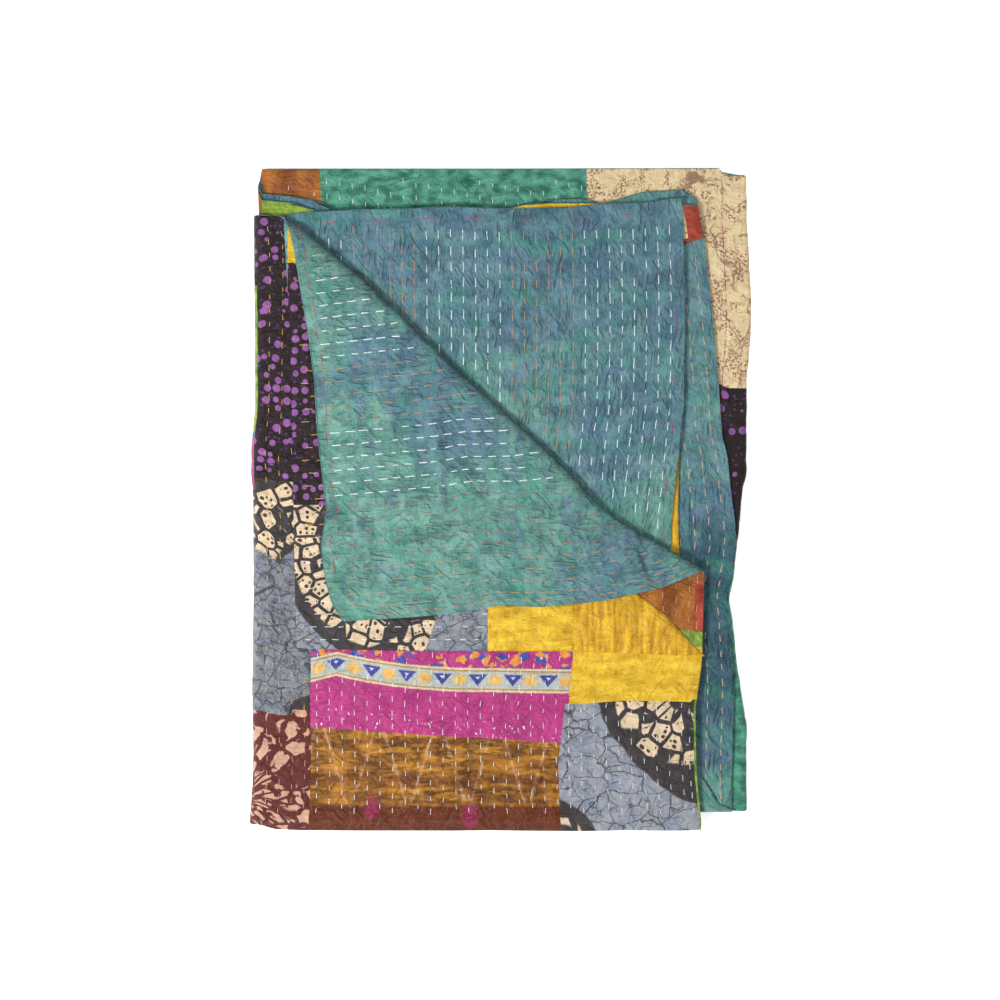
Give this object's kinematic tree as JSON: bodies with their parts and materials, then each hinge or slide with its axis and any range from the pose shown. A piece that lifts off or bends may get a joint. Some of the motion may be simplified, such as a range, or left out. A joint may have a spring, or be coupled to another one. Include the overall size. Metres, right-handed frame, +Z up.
{
  "type": "patchwork quilt",
  "caption": "Large hand-quilted patchwork quilt in thin silk, doubled and folded in quarters with one corner of the top layer turned back.",
  "frame": {"origin": "middle of the folded quilt's footprint, on the surface it rests on", "axes": "+Z up; +Y along the folded quilt's long side, away from the doubled bottom edge; +X to the right as seen from above"},
  "size_m": [0.6142, 0.8106, 0.0309],
  "materials": {
    "quilted_silk": "thin silk patches and a dyed silk backing, running-stitched together, soft sheen"
  },
  "bodies": {
    "root": {"quilt": "quilted_silk"}
  },
  "joints": []
}
